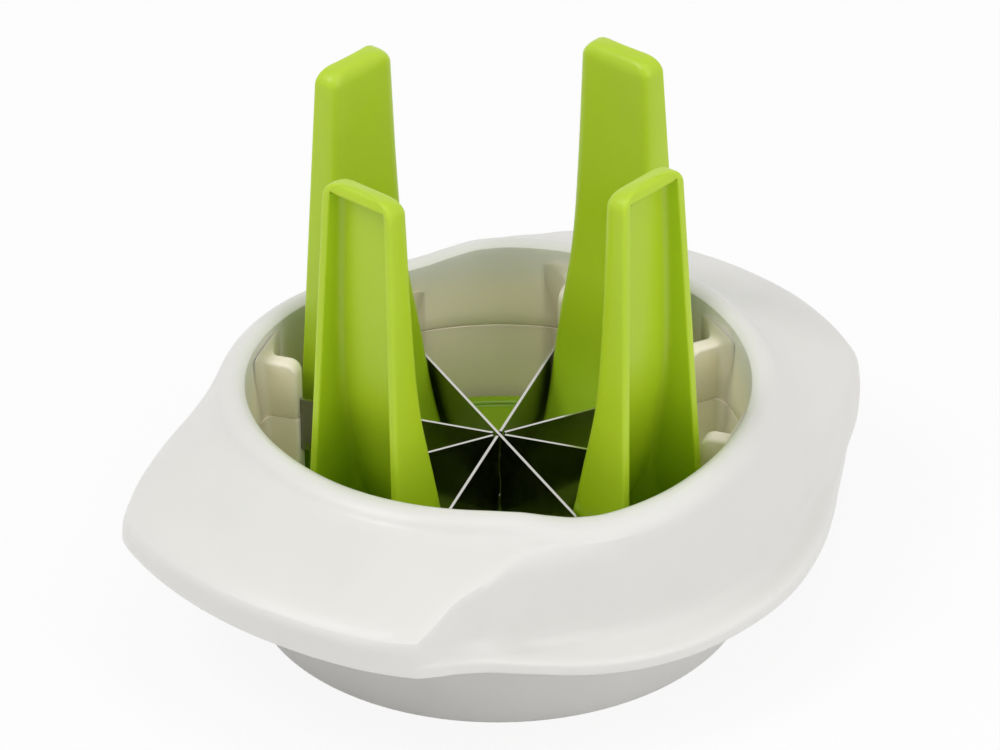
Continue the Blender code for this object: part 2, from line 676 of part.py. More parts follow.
def add_ribs(ring, outline, angles, cutters):
    """Joins one rib of the same outline to a ring at each angle."""
    first = stood_up(prism(ring.name + "_rib", outline, RIB_THICKNESS / 2, cutters))
    for angle in angles:
        rib = add_object(first.name, first.data, cutters)
        combine(ring, at_angle(rib, angle), "UNION")
    bpy.data.objects.remove(first)


def cut_slots(ring, foot, top, cutters):
    for k, angle in enumerate(BLADE_ANGLES.values()):
        slot = box("%s_slot_%d" % (ring.name, k + 1),
                   (2 * SLOT_REACH, SLOT_WIDTH, top - foot), (0, 0, (top + foot) / 2), cutters)
        combine(ring, at_angle(slot, angle), "DIFFERENCE")


def make_upper_ring(parts, cutters, white):
    rings = []
    for turn in (0, HALF_TURN):
        for start, end, steps in STATION_RUNS:
            for k in range(steps):
                angle = lerp(start, end, k / steps) + turn
                across = math.radians(angle)
                rings.append([(p.x * math.cos(across), p.x * math.sin(across), p.y)
                              for p in ring_section(angle)])
    ring = add_object("upper_ring", loft("upper_ring", rings, True), parts)
    for top, angles in ((TALL_RIB_TOP_HEIGHT, TALL_RIB_ANGLES),
                        (LOW_RIB_TOP_HEIGHT, LOW_RIB_ANGLES)):
        add_ribs(ring, rib_outline(PARTING_HEIGHT, top, RIB_CORNER), angles, cutters)
    cut_slots(ring, PARTING_HEIGHT - OVERRUN, BLADE_TOP_HEIGHT + GAP, cutters)
    foot = LUG_TOP_HEIGHT + GAP
    for k, angle in enumerate(SCREW_ANGLES):
        top = outer_height(angle, SCREW_RADIUS + POST_RADIUS) - SHELL_WALL / 2
        post = cylinder("post_%d" % (k + 1), POST_RADIUS, foot, top, POST_STEPS, cutters)
        combine(ring, at_angle(post, angle, SCREW_RADIUS), "UNION")
        bore_top = LUG_BOTTOM_HEIGHT - GAP + SCREW_LENGTH + SCREW_CLEARANCE
        bore = cylinder("post_bore_%d" % (k + 1), SCREW_SHANK_RADIUS + SCREW_CLEARANCE,
                        foot - OVERRUN, bore_top, SCREW_STEPS, cutters)
        combine(ring, at_angle(bore, angle, SCREW_RADIUS), "DIFFERENCE")
    ring.data.materials.append(white)
    smooth(ring.data)
    return ring


def lug_outline():
    """Side view of a lug: it leaves the collar, rises outside the tube and runs outwards."""
    root = COLLAR_OUTER_RADIUS - OVERLAP
    riser = LUG_RISER_RADIUS + LUG_RISER_WIDTH
    end = SCREW_RADIUS + LUG_END
    low = COLLAR_TOP_HEIGHT - LUG_ROOT_THICKNESS
    return [
        (root, low), (riser, low), (riser + LUG_RISER_WIDTH, LUG_BOTTOM_HEIGHT),
        (end, LUG_BOTTOM_HEIGHT), (end, LUG_TOP_HEIGHT), (LUG_RISER_RADIUS, LUG_TOP_HEIGHT),
        (LUG_RISER_RADIUS, COLLAR_TOP_HEIGHT - GAP), (root, COLLAR_TOP_HEIGHT - GAP),
    ]


def make_lower_ring(parts, cutters, white):
    top = COLLAR_TOP_HEIGHT
    profile = [
        (BORE_FOOT_RADIUS, top), (COLLAR_OUTER_RADIUS, top),
        (COLLAR_OUTER_RADIUS, COLLAR_FOOT_HEIGHT),
        (SKIRT_FOOT_OUTER_RADIUS, SKIRT_EDGE), (SKIRT_FOOT_OUTER_RADIUS - SKIRT_EDGE, 0),
        (SKIRT_FOOT_INNER_RADIUS, 0),
    ]
    ring = turned("lower_ring", profile, RING_STEPS, True, parts)
    angles = TALL_RIB_ANGLES + LOW_RIB_ANGLES
    add_ribs(ring, rib_outline(RIB_BOTTOM_HEIGHT, top, 0), angles, cutters)
    cut_slots(ring, BLADE_BOTTOM_HEIGHT - GAP, top + OVERRUN, cutters)
    lug = stood_up(prism("lug", lug_outline(), LUG_WIDTH / 2, cutters))
    for k, angle in enumerate(SCREW_ANGLES):
        placed = lug if k == 0 else add_object("lug", lug.data, cutters)
        combine(ring, at_angle(placed, angle), "UNION")
        hole = cylinder("lug_hole_%d" % (k + 1), SCREW_SHANK_RADIUS + SCREW_CLEARANCE,
                        LUG_BOTTOM_HEIGHT - OVERRUN, LUG_TOP_HEIGHT + OVERRUN,
                        SCREW_STEPS, cutters)
        combine(ring, at_angle(hole, angle, SCREW_RADIUS), "DIFFERENCE")
    ring.data.materials.append(white)
    return ring


def blade_section(place, bottom):
    """Section of a blade that lies along X, with its edge ground from both sides."""
    half = BLADE_THICKNESS / 2
    ground = bottom + BLADE_GRIND
    return [(place, -half, BLADE_TOP_HEIGHT), (place, -half, ground),
            (place, -BLADE_EDGE / 2, bottom), (place, BLADE_EDGE / 2, bottom),
            (place, half, ground), (place, half, BLADE_TOP_HEIGHT)]


def make_blades(parts, cutters, steel):
    """Four strips that deepen to a point, each cut away at the centre but for its tongue."""
    bend = BLADE_REACH - BLADE_END_LENGTH
    stations = ((-BLADE_REACH, BLADE_BOTTOM_HEIGHT), (-bend, BLADE_BOTTOM_HEIGHT),
                (0, BLADE_POINT_HEIGHT), (bend, BLADE_BOTTOM_HEIGHT),
                (BLADE_REACH, BLADE_BOTTOM_HEIGHT))
    tongue = (BLADE_TOP_HEIGHT - BLADE_POINT_HEIGHT) / len(BLADE_ANGLES)
    blades = []
    for k, (name, angle) in enumerate(BLADE_ANGLES.items()):
        strip = loft(name, [blade_section(*station) for station in stations], False)
        blade = add_object(name, strip, parts)
        tongue_top = BLADE_TOP_HEIGHT - tongue * k
        tongues_below = len(BLADE_ANGLES) - 1 - k
        spans = ((tongue_top - BLADE_TONGUE_GAP / 2, BLADE_TOP_HEIGHT + OVERRUN),
                 (BLADE_POINT_HEIGHT - OVERRUN, tongue_top - tongue + BLADE_TONGUE_GAP / 2))
        upper = NARROW_NOTCH_HALF_WIDTH if k == 1 else BLADE_NOTCH_HALF_WIDTH
        half_widths = (upper if k else 0, NARROW_NOTCH_HALF_WIDTH if tongues_below else 0)
        for (foot, top), half_width in zip(spans, half_widths):
            if half_width:
                size = (2 * half_width, BLADE_THICKNESS + 2 * OVERRUN, top - foot)
                notch = box(name + "_notch", size, (0, 0, (top + foot) / 2), cutters)
                combine(blade, at_angle(notch, angle), "DIFFERENCE")
        blade.data.materials.append(steel)
        blades.append(at_angle(blade, angle))
    return blades


def make_screw_mesh(cutters):
    """Pan-head screw, driven upwards: z = 0 is the face under its head."""
    head = SCREW_HEAD_RADIUS
    profile = [
        (0, SCREW_LENGTH), (SCREW_SHANK_RADIUS / 2, SCREW_LENGTH),
        (SCREW_SHANK_RADIUS, SCREW_LENGTH - SCREW_TIP), (SCREW_SHANK_RADIUS, 0), (head, 0),
        (head, SCREW_HEAD_CROWN - SCREW_HEAD_THICKNESS),
        (head - SCREW_HEAD_CROWN, -SCREW_HEAD_THICKNESS), (0, -SCREW_HEAD_THICKNESS),
    ]
    screw = turned("screw_form", profile, SCREW_STEPS, False, cutters)
    depth = DRIVE_DEPTH + OVERRUN
    centre = (0, 0, -SCREW_HEAD_THICKNESS + DRIVE_DEPTH - depth / 2)
    across = [box("drive", size, centre, cutters) for size in
              ((DRIVE_LENGTH, DRIVE_WIDTH, depth), (DRIVE_WIDTH, DRIVE_LENGTH, depth))]
    for slot in across:
        combine(screw, slot, "DIFFERENCE")
    bpy.context.view_layer.update()
    solid = screw.evaluated_get(bpy.context.evaluated_depsgraph_get())
    mesh = bpy.data.meshes.new_from_object(solid)
    mesh.name = "ring_screw"
    for used in [screw] + across:
        bpy.data.objects.remove(used)
    return mesh


def make_screws(parts, cutters, steel):
    mesh = make_screw_mesh(cutters)
    mesh.materials.append(steel)
    screws = []
    for k, angle in enumerate(SCREW_ANGLES):
        screw = add_object("ring_screw_%d" % (k + 1), mesh, parts)
        screws.append(at_angle(screw, angle, SCREW_RADIUS, LUG_BOTTOM_HEIGHT - GAP))
    return screws


def main():
    for old in list(bpy.data.objects):
        bpy.data.objects.remove(old)
    parts = collection("lemon_slicer")
    cutters = collection("cutters")
    white = white_plastic()

    make_holder(parts, cutters, green_plastic())
    pushed = [make_upper_ring(parts, cutters, white), make_lower_ring(parts, cutters, white)]
    pushed += make_blades(parts, cutters, blade_steel())
    pushed += make_screws(parts, cutters, screw_steel())

    slide = add_object("cutter_slide", None, parts)
    slide.empty_display_size = FINGER_TOP_HEIGHT
    for piece in pushed:
        piece.parent = slide
    for cutter in cutters.objects:
        cutter.hide_render = True
        cutter.display_type = "WIRE"


main()
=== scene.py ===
"""Push-down lemon wedger, pressed right down on its holder. The holder and the two ring
mouldings are modelled here; the blades and screws keep their CAD form and get their metal.
Metres, +Z up, the slide along Z and the wing tips along X. Angles in degrees.
"""
import math

import bmesh
import bpy
import numpy as np
from mathutils import Matrix, Vector


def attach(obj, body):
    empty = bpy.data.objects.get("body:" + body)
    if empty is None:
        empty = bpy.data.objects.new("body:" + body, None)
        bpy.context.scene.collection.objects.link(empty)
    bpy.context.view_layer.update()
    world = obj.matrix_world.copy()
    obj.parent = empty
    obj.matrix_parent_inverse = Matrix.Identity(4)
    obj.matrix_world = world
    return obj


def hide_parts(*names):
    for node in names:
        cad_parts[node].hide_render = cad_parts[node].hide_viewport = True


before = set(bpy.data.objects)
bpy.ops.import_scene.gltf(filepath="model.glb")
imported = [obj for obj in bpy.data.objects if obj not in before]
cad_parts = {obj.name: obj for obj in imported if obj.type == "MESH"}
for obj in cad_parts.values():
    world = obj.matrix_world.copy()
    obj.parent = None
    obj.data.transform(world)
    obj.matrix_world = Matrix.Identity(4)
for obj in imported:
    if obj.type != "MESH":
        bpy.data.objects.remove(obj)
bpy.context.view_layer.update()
bpy.ops.object.select_all(action="DESELECT")

MM = 0.001
# How near a point counts as in place, and as doubled
NEAR = 0.003 * MM
DOUBLED = 0.004 * MM

PARTING_HEIGHT = 25.4 * MM
PARTING_GAP = 0.12 * MM
PARTING_EDGE = 0.12 * MM
RIM_HEIGHT = 40.6 * MM
RIM_DIP = 2.9 * MM
BRIM_HEIGHT = 15.6 * MM
BORE_RADIUS = 39.6 * MM
MOUTH_RADIUS = 40.4 * MM
SHOULDER_RADIUS = 45.4 * MM
WING_RADIUS = 64.5 * MM
BRIM_THICKNESS = 2.4 * MM
BRIM_LIP = 1.8 * MM
SHELL_WALL = 2.2 * MM
TUBE_RADIUS = 41.6 * MM
# The rim's rounded top: inner and outer radius, and the drops beside it
RIM_INNER_RADIUS = 42.2 * MM
RIM_OUTER_RADIUS = 44.2 * MM
MOUTH_DROP = 0.8 * MM
RIM_OUTER_DROP = 0.9 * MM
SHOULDER_DROP = 2.6 * MM
WING_END_ANGLE = 54
GROOVE_START_ANGLE = 68
GROOVE_FLOOR_DROP = 0.4 * MM

# Height of the rim, by angle from a wing tip, as a share of its dip
RIM_SHARES = (
    (0, 0.10), (12, 0.05), (28, 0.07), (45, 0.03), (60, 0.0), (68, 0.12), (75, 0.50),
    (81, 0.84), (88, 1.0), (102, 0.88), (116, 0.64), (131, 0.45), (145, 0.31), (160, 0.20),
)
# The swirl's edge: groove edge, wing edge and crease. Share of the way out and up.
SWIRL_SHARES = (
    (-117, 0.45, 0.27), (-109, 0.29, 0.21), (-95, 0.165, 0.18), (-80, 0.135, 0.17),
    (-60, 0.135, 0.19), (-49, 0.14, 0.255), (-43, 0.155, 0.335), (-36, 0.20, 0.43),
    (-27, 0.38, 0.495), (-19, 0.56, 0.508), (-10, 0.80, 0.51), (-2, 0.985, 0.525),
    (6, 1.0, 0.565), (15, 1.0, 0.595), (32, 1.0, 0.605), (48, 1.0, 0.585),
    (52.7, 0.98, 0.588), (53.5, 0.906, 0.612), (54.7, 0.807, 0.643), (56.1, 0.678, 0.683),
    (57.1, 0.603, 0.707), (58.5, 0.527, 0.731), (60, 0.474, 0.747), (61.6, 0.415, 0.764),
    (63, 0.357, 0.781), (66, 0.245, 0.808), (70, 0.135, 0.832), (76, 0.06, 0.815),
    (90, 0.015, 0.76),
)
# The brim's lower edge, in the same shares
BRIM_SHARES = (
    (0, 1.0, 0.36), (15, 1.0, 0.375), (30, 1.0, 0.368), (45, 1.0, 0.342),
    (52, 0.99, 0.332), (55, 0.90, 0.31), (58, 0.76, 0.27), (63, 0.63, 0.22),
    (71, 0.54, 0.145), (77, 0.49, 0.085), (84, 0.452, 0.035), (92, 0.45, 0.01),
    (100, 0.45, 0.0), (120, 0.45, 0.0), (132, 0.45, 0.024), (141, 0.455, 0.048),
    (150, 0.48, 0.076), (162, 0.61, 0.13), (170, 0.83, 0.225), (176, 0.97, 0.32),
)
UPPER_BEND_SHARES = ((90, 0.06), (120, 0.30), (150, 0.62), (172, 0.93), (180, 0.97))
LOWER_BEND_SHARES = ((0, 0.0), (10, 0.14), (45, 0.38), (63, 0.45))

# Stations round half the ring: from, to, number
STATION_RUNS = ((0, 46, 46), (46, 66, 50), (66, 150, 84), (150, 180, 30))
# Millimetres that each bend of the section is rounded over. At the crease they change with
# the angle.
BEND_SOFTNESS = (0.0, 0.18, 0.5, 1.2, 1.2, 1.2, 2.2, 2.2, 2.4, 1.0, 0.5, 0.0)
CREASE_BEND = 6
CREASE_SOFTNESS = ((0, 2.2), (44, 2.2), (52.7, 1.0), (60, 0.9), (70, 2.2), (180, 2.2))
# Steps from each bend to the next, over the hollow underside, and in a bend's rounding
BEND_STEPS = (2, 6, 6, 6, 6, 8, 8, 8, 8, 6, 4)
HOLLOW_STEPS = 26
ROUNDING_STEPS = 48

RIB_INNER_RADIUS = 34.1 * MM
RIB_OUTER_RADIUS = 40.9 * MM
RIB_HALF = 1.5 * MM
RIB_FOOT_HEIGHT = 12.8 * MM
RIB_CORNER = 2.0 * MM
RIB_EDGE = 0.6 * MM
RIB_FILLET = 1.35 * MM
RIB_FILLET_STEPS = (0.0, 0.25, 0.45, 0.62, 0.76, 0.88, 0.96)
RIB_ROOT_SPREAD = 1.7
RIB_ROOT_RISE = 0.9 * MM
UPPER_RIB_WALL = 39.75 * MM
LOWER_RIB_WALL = 39.45 * MM
TALL_RIBS = (35.3 * MM, (0, 45, 135, 315))
LOW_RIBS = (30.4 * MM, (90, 180, 225, 270))
SLOT_HALF = 0.32 * MM
SLOT_START = 30 * MM
SLOT_END = 38.9 * MM
OVERRUN = 1 * MM
BLADE_TOP_HEIGHT = 28.5 * MM
BLADE_BOTTOM_HEIGHT = 18.9 * MM
BLADE_SLACK = 0.3 * MM

SCREW_ANGLES = (12, 38, 192, 218)
SCREW_RADIUS = 52.0 * MM
SCREW_HOLE = 1.6 * MM
POST_RADIUS = 3.0 * MM
POST_FOOT = 29.2 * MM
POST_HOLE_TOP = 32.1 * MM
POST_SUNK = 1.1 * MM

SKIRT_RADIUS = 41.9 * MM
SKIRT_FOOT_RADIUS = 40.5 * MM
SKIRT_FOOT_BORE = 38.9 * MM
SKIRT_BEND_HEIGHT = 16 * MM
SKIRT_ROUNDS = (PARTING_EDGE, 0.3 * MM, 2 * MM, 0.6 * MM, 0.4 * MM)

DISC_RADIUS = 38 * MM
DISC_BORE = 36.2 * MM
DISC_RIM_HEIGHT = 12.5 * MM
DISC_UNDERSIDE = 9.9 * MM
DISC_ROUNDS = (0, 0.35 * MM, 0.4 * MM, 0.5 * MM, 0.5 * MM, 0.3 * MM, 0.8 * MM, 0)
PANEL_RADIUS = 35.7 * MM
PANEL_RIM_RADIUS = 36.1 * MM
MIDDLE_RADIUS = 2 * MM

FLOOR_HEIGHT = 11.7 * MM
FINGER_ANGLES = (22.5, 112.5, 202.5, 292.5)
FINGER_TOP = 86.5 * MM
FINGER_CAP = 2.1 * MM
FINGER_WALL = 1.5 * MM
FINGER_ROUNDS = (0, 1.3 * MM, 1.5 * MM, 0.6 * MM, 0.4 * MM, 0.7 * MM, 0.8 * MM, 0)
FINGER_ROUND_STEPS = 7
FINGER_STATIONS = 70
BLADE_CLEARANCE = 0.775 * MM
HALF_SECTOR = math.radians(22.5)
# Foot and top: web's inner face, flanges' tips, half width
FINGER_FOOT = (11.0 * MM, 35.3 * MM, 10.5 * MM)
FINGER_END = (27.85 * MM, 32.1 * MM, 7.0 * MM)
# The web's inner face: share of the height, and share of the way in from the top's
WEB_SHARES = (
    (0.0, 1.0), (0.024, 0.885), (0.058, 0.75), (0.112, 0.55), (0.166, 0.407), (0.219, 0.30),
    (0.273, 0.228), (0.341, 0.169), (0.408, 0.11), (0.489, 0.05), (0.596, 0.015),
    (0.785, 0.0), (1.0, 0.0),
)
TOP_ROUND = 2.6 * MM
TOP_DRAWN_IN = (1.8 * MM, 0.8 * MM, 3.0 * MM)
TOP_CROWN = 0.22 * MM

# Colours, each drifting between a pale and a deep one
GREEN = ((0.48, 0.65, 0.02), (0.45, 0.62, 0.014))
# Painted shade: the green deepens towards the foot of the fingers, between these heights
GREEN_PAINTED_SHADE = (0.28, 0.48, 0.002)
PAINTED_SHADE_HEIGHTS = (18 * MM, 46 * MM)
WHITE = ((0.775, 0.765, 0.74), (0.75, 0.738, 0.71))
# Painted warm light: a lighter, warmer white down the inside of the bore, within these radii and
# heights
WHITE_PAINTED_WARM_LIGHT = (1.0, 0.885, 0.70)
PAINTED_LIGHT_RADII = (39.9 * MM, 40.42 * MM)
PAINTED_LIGHT_HEIGHTS = (33 * MM, 43 * MM)
# Blade steel: its own colour darkened as painted shade on the faces, and a painted highlight
# colour for what faces up
BLADE_STEEL_AND_PAINTED_SHADE = (0.30, 0.30, 0.27)
BLADE_PAINTED_HIGHLIGHT = (0.60, 0.59, 0.55)
PLATED_STEEL = (0.62, 0.62, 0.61)
LIGHT_DEPTH = 4 * MM

# Lamps: name, place, size, and the light that each gives the table
LAMPS = (
    ("key_card", (0.45, -0.9, 0.95), 0.8, 0.16),
    ("left_card", (-0.75, 0.05, 1.0), 0.5, 0.27),
    ("low_card", (0.5, -1.0, 0.3), 0.5, 0.09),
    ("high_card", (-0.05, -0.3, 1.3), 0.7, 0.13),
)
ROOM_LIGHT = 0.55
PAPER_WHITENESS = 0.88


def lerp(start, end, share):
    return start + (end - start) * share


def ease(share):
    share = min(max(share, 0.0), 1.0)
    return share * share * (3.0 - 2.0 * share)


def read_curve(table, place, column=1):
    """Reads a column at a place, on a smooth curve through the rows that never overshoots."""
    x = np.array([row[0] for row in table], float)
    y = np.array([row[column] for row in table], float)
    place = min(max(place, x[0]), x[-1])
    rises = np.diff(y) / np.diff(x)
    slopes = np.empty(len(x))
    slopes[0], slopes[-1] = rises[0], rises[-1]
    both = rises[:-1] * rises[1:]
    total = rises[:-1] + rises[1:]
    slopes[1:-1] = np.where(both > 0, 2 * both / np.where(total == 0, 1, total), 0)
    i = min(max(int(np.searchsorted(x, place, "right")), 1), len(x) - 1)
    step = x[i] - x[i - 1]
    share = (place - x[i - 1]) / step
    bulge = share * (1 - share) * step
    return (lerp(y[i - 1], y[i], ease(share))
            + bulge * ((1 - share) * slopes[i - 1] - share * slopes[i]))


def round_table(table):
    return [(row[0] + turn,) + row[1:] for turn in (-180, 0, 180) for row in table]


# Shaping by hand

def start_shaping():
    bpy.ops.object.mode_set(mode="EDIT")
    bpy.ops.mesh.select_mode(type="VERT")


def stop_shaping():
    bpy.ops.object.mode_set(mode="OBJECT")


def pick(kind, test):
    """Selects the points, edges or faces of the piece in edit mode that pass a test."""
    bpy.ops.mesh.select_mode(type={"verts": "VERT", "edges": "EDGE", "faces": "FACE"}[kind])
    bpy.ops.mesh.select_all(action="DESELECT")
    work = bmesh.from_edit_mesh(bpy.context.object.data)
    for item in getattr(work, kind):
        item.select_set(test(item))
    work.select_flush_mode()
    bmesh.update_edit_mesh(bpy.context.object.data)


def close_up():
    """Merges doubled points and turns all faces outwards."""
    start_shaping()
    bpy.ops.mesh.select_all(action="SELECT")
    bpy.ops.mesh.remove_doubles(threshold=DOUBLED)
    bpy.ops.mesh.normals_make_consistent(inside=False)
    stop_shaping()


def add_block(name, low, high):
    middle = [(a + b) / 2 for a, b in zip(low, high)]
    bpy.ops.mesh.primitive_cube_add(size=1, location=middle,
                                    scale=[b - a for a, b in zip(low, high)])
    bpy.context.object.name = name
    bpy.ops.object.transform_apply(location=True, rotation=True, scale=True)
    return bpy.context.object


def cut_with(piece, cutter):
    cut = piece.modifiers.new("cut", "BOOLEAN")
    cut.object = cutter
    cut.operation = "DIFFERENCE"
    cut.solver = "EXACT"
    make_active(piece)
    bpy.ops.object.modifier_apply(modifier="cut")
    bpy.data.objects.remove(cutter)


def make_active(piece):
    bpy.ops.object.select_all(action="DESELECT")
    piece.select_set(True)
    bpy.context.view_layer.objects.active = piece


def copy_turned(piece, angle):
    """A copy with its own mesh, turned about the slide axis."""
    copy = piece.copy()
    copy.data = piece.data.copy()
    bpy.context.collection.objects.link(copy)
    copy.data.transform(Matrix.Rotation(math.radians(angle), 4, "Z"))
    return copy


def join(pieces, name):
    make_active(pieces[0])
    for piece in pieces:
        piece.select_set(True)
    bpy.ops.object.join()
    pieces[0].name = name
    return pieces[0]


def round_corners(bends, radii, steps=5):
    """A profile with each bend rounded, and a point close before and after each rounding."""
    bends = [Vector(bend) for bend in bends]
    points = []
    for i, (bend, radius) in enumerate(zip(bends, radii)):
        if not radius:
            points.append(bend)
            continue
        before = (bends[i - 1] - bend).normalized()
        after = (bends[(i + 1) % len(bends)] - bend).normalized()
        points.append(bend + before * radius * 1.3)
        for k in range(steps + 1):
            t = k / steps
            points.append(bend + before * radius * (1 - t) ** 2 + after * radius * t * t)
        points.append(bend + after * radius * 1.3)
    return points


def turn_profile(name, points, steps, looped):
    """Turns a profile of (radius, height) about Z: a circle, extruded and resized ring by
    ring. The profile closes on itself, or its two ends are filled."""
    radius, height = points[0]
    bpy.ops.mesh.primitive_circle_add(vertices=steps, radius=radius, location=(0, 0, height),
                                      fill_type="NOTHING" if looped else "NGON")
    piece = bpy.context.object
    piece.name = name
    bpy.ops.object.transform_apply(location=True, rotation=True, scale=True)
    start_shaping()
    bpy.ops.mesh.select_mode(type="EDGE")
    bpy.ops.mesh.select_all(action="SELECT")
    if not looped:
        pick("edges", lambda edge: True)
    for after in list(points[1:]) + ([points[0]] if looped else []):
        bpy.ops.mesh.extrude_edges_move(
            MESH_OT_extrude_edges_indiv={"use_normal_flip": False},
            TRANSFORM_OT_translate={"value": (0, 0, after[1] - height)})
        share = after[0] / radius
        bpy.ops.transform.resize(value=(share, share, 1), center_override=(0, 0, 0))
        radius, height = after
    if not looped:
        bpy.ops.mesh.edge_face_add()
    stop_shaping()
    close_up()
    return piece


def loft(name, rings, looped):
    """Skins matching rings of points, closed into a loop or capped at both ends."""
    count = len(rings[0])
    points = [tuple(point) for ring in rings for point in ring]
    faces = []
    for i in range(len(rings) if looped else len(rings) - 1):
        here, there = i * count, (i + 1) % len(rings) * count
        for k in range(count):
            after = (k + 1) % count
            faces.append((here + k, here + after, there + after, there + k))
    if not looped:
        faces.append(tuple(range(count)))
        faces.append(tuple(range(len(points) - count, len(points))))
    mesh = bpy.data.meshes.new(name)
    mesh.from_pydata(points, [], faces)
    piece = bpy.data.objects.new(name, mesh)
    bpy.context.collection.objects.link(piece)
    make_active(piece)
    close_up()
    return piece


def finish_piece(piece, name, material, body, node, sharp=38):
    """Smooths a moulding, gives it its plastic, ties it to its body and hides its CAD node."""
    piece.name = name
    piece.data.name = name
    make_active(piece)
    bpy.ops.object.shade_smooth_by_angle(angle=math.radians(sharp))
    piece.data.materials.clear()
    piece.data.materials.append(material)
    for face in piece.data.polygons:
        face.material_index = 0
    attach(piece, body)
    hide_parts(node)
    return piece


# Swirled ring

def swirl_point(out_share, up_share):
    return (lerp(SHOULDER_RADIUS, WING_RADIUS, out_share), lerp(BRIM_HEIGHT, RIM_HEIGHT, up_share))


def swirl_edge(angle):
    return np.array(swirl_point(read_curve(SWIRL_SHARES, angle, 1),
                                read_curve(SWIRL_SHARES, angle, 2)))


def ring_bends(angle):
    """Bends of the ring's section at an angle, from the bore's foot out to the brim's foot."""
    angle = angle % 180
    rim = RIM_HEIGHT - RIM_DIP * read_curve(round_table(RIM_SHARES), angle)
    rows = round_table(BRIM_SHARES)
    foot = np.array(swirl_point(read_curve(rows, angle, 1), read_curve(rows, angle, 2)))
    brim_top = foot + (0, BRIM_THICKNESS)
    shoulder = np.array((SHOULDER_RADIUS, rim - SHOULDER_DROP))
    groove_edge, wing_edge = swirl_edge(angle - 180), swirl_edge(angle)
    if angle >= 90:
        upper = lerp(shoulder, groove_edge, read_curve(UPPER_BEND_SHARES, angle))
    else:
        upper = lerp(shoulder, wing_edge, lerp(UPPER_BEND_SHARES[-1][1], 1, ease(angle / 10)))
    lower = groove_edge
    if angle < GROOVE_START_ANGLE:
        on_band = lerp(wing_edge, brim_top, read_curve(LOWER_BEND_SHARES, angle))
        turned = (angle - WING_END_ANGLE) / (GROOVE_START_ANGLE - WING_END_ANGLE)
        lower = lerp(on_band, groove_edge, ease(turned))
    floor = (lerp(lower[0], brim_top[0], 0.2),
             min(brim_top[1] + GROOVE_FLOOR_DROP, lerp(lower[1], brim_top[1], 0.7)))
    return np.array([
        (BORE_RADIUS + PARTING_EDGE, PARTING_HEIGHT), (BORE_RADIUS, PARTING_HEIGHT + PARTING_EDGE),
        (MOUTH_RADIUS, rim - MOUTH_DROP), (RIM_INNER_RADIUS, rim),
        (RIM_OUTER_RADIUS, rim - RIM_OUTER_DROP), shoulder, upper, lower, floor, brim_top, foot,
        foot - (BRIM_LIP, 0),
    ])


def soft_line(angle):
    """Points along the section, with each bend drawn round over its softness."""
    bends = ring_bends(angle)
    lengths = np.hypot(*np.diff(bends, axis=0).T)
    stops = np.concatenate(([0], np.cumsum(lengths)))
    softness = np.array(BEND_SOFTNESS) * MM
    softness[CREASE_BEND] = read_curve(CREASE_SOFTNESS, angle % 180) * MM
    places, reach = [], []
    for i, count in enumerate(BEND_STEPS):
        shares = np.arange(count) / count
        places.append(lerp(stops[i], stops[i + 1], shares))
        reach.append(lerp(softness[i], softness[i + 1], shares))
    places = np.concatenate(places + [stops[-1:]])
    reach = np.concatenate(reach + [softness[-1:]])
    reach = np.minimum(reach, np.minimum(places, stops[-1] - places))
    spread = (2 * np.arange(ROUNDING_STEPS) + 1) / ROUNDING_STEPS - 1
    at = places[:, None] + reach[:, None] * spread
    return np.stack([np.interp(at, stops, bends[:, k]).mean(axis=1) for k in (0, 1)], axis=1)


def ring_section(angle):
    """The whole closed section: outside, brim's foot, hollow underside, tube."""
    bends = ring_bends(angle)
    line = soft_line(angle)
    roof = line[sum(BEND_STEPS[:3]):-BEND_STEPS[-1]]
    roof = np.concatenate([lerp(roof[:-1], roof[1:], k / 6) for k in range(6)])
    radii = np.linspace(bends[-2][0] - SHELL_WALL, TUBE_RADIUS, HOLLOW_STEPS)
    side = np.abs(roof[:, 0] - radii[:, None])
    drop = roof[:, 1] - np.sqrt(np.maximum(SHELL_WALL ** 2 - side ** 2, 0))
    heights = np.where(side < SHELL_WALL, drop, 1).min(axis=1)
    heights = np.maximum(heights, bends[-2][1] + 0.01 * MM)
    hollow = np.stack((radii, heights), axis=1)
    foot = [(TUBE_RADIUS, PARTING_HEIGHT + PARTING_EDGE),
            (TUBE_RADIUS - PARTING_EDGE, PARTING_HEIGHT)]
    return np.concatenate((line, hollow, foot))


def make_swirled_ring():
    """The ring's section round one wing and its groove, then once more half a turn on."""
    angles = [lerp(start, end, k / count) for start, end, count in STATION_RUNS
              for k in range(count)]
    half = [(angle, ring_section(angle)) for angle in angles]
    rings = []
    for turn in (0, 180):
        for angle, section in half:
            across = math.radians(angle + turn)
            rings.append(np.stack((section[:, 0] * math.cos(across),
                                   section[:, 0] * math.sin(across), section[:, 1]), axis=1))
    return loft("swirled_ring", rings, True)


# Ribs that hold the blades

def flare_into_wall(wall, foot, height):
    """Widens the last rings of a rib, so that it runs into the wall with a fillet."""
    for share in RIB_FILLET_STEPS:
        place = wall - RIB_FILLET * (1 - share)
        bpy.ops.mesh.select_all(action="SELECT")
        bpy.ops.mesh.bisect(plane_co=(place, 0, 0), plane_no=(1, 0, 0))
        wider = RIB_FILLET * (1 - math.sqrt(1 - share * share))
        pick("verts", lambda vert: abs(vert.co.x - place) < NEAR)
        bpy.ops.transform.resize(value=(1, 1 + wider / RIB_HALF, 1 + wider / height),
                                 center_override=(place, 0, foot))
    pick("verts", lambda vert: vert.co.x > RIB_OUTER_RADIUS - NEAR)
    bpy.ops.transform.resize(value=(1, RIB_ROOT_SPREAD, 1 + RIB_ROOT_RISE / height),
                             center_override=(RIB_OUTER_RADIUS, 0, foot))


def bevel_picked(test, offset, segments):
    pick("edges", test)
    bpy.ops.mesh.bevel(offset=offset, segments=segments, profile=0.5, affect="EDGES")


def at_inner_end(edge):
    return all(abs(vert.co.x - RIB_INNER_RADIUS) < NEAR for vert in edge.verts)


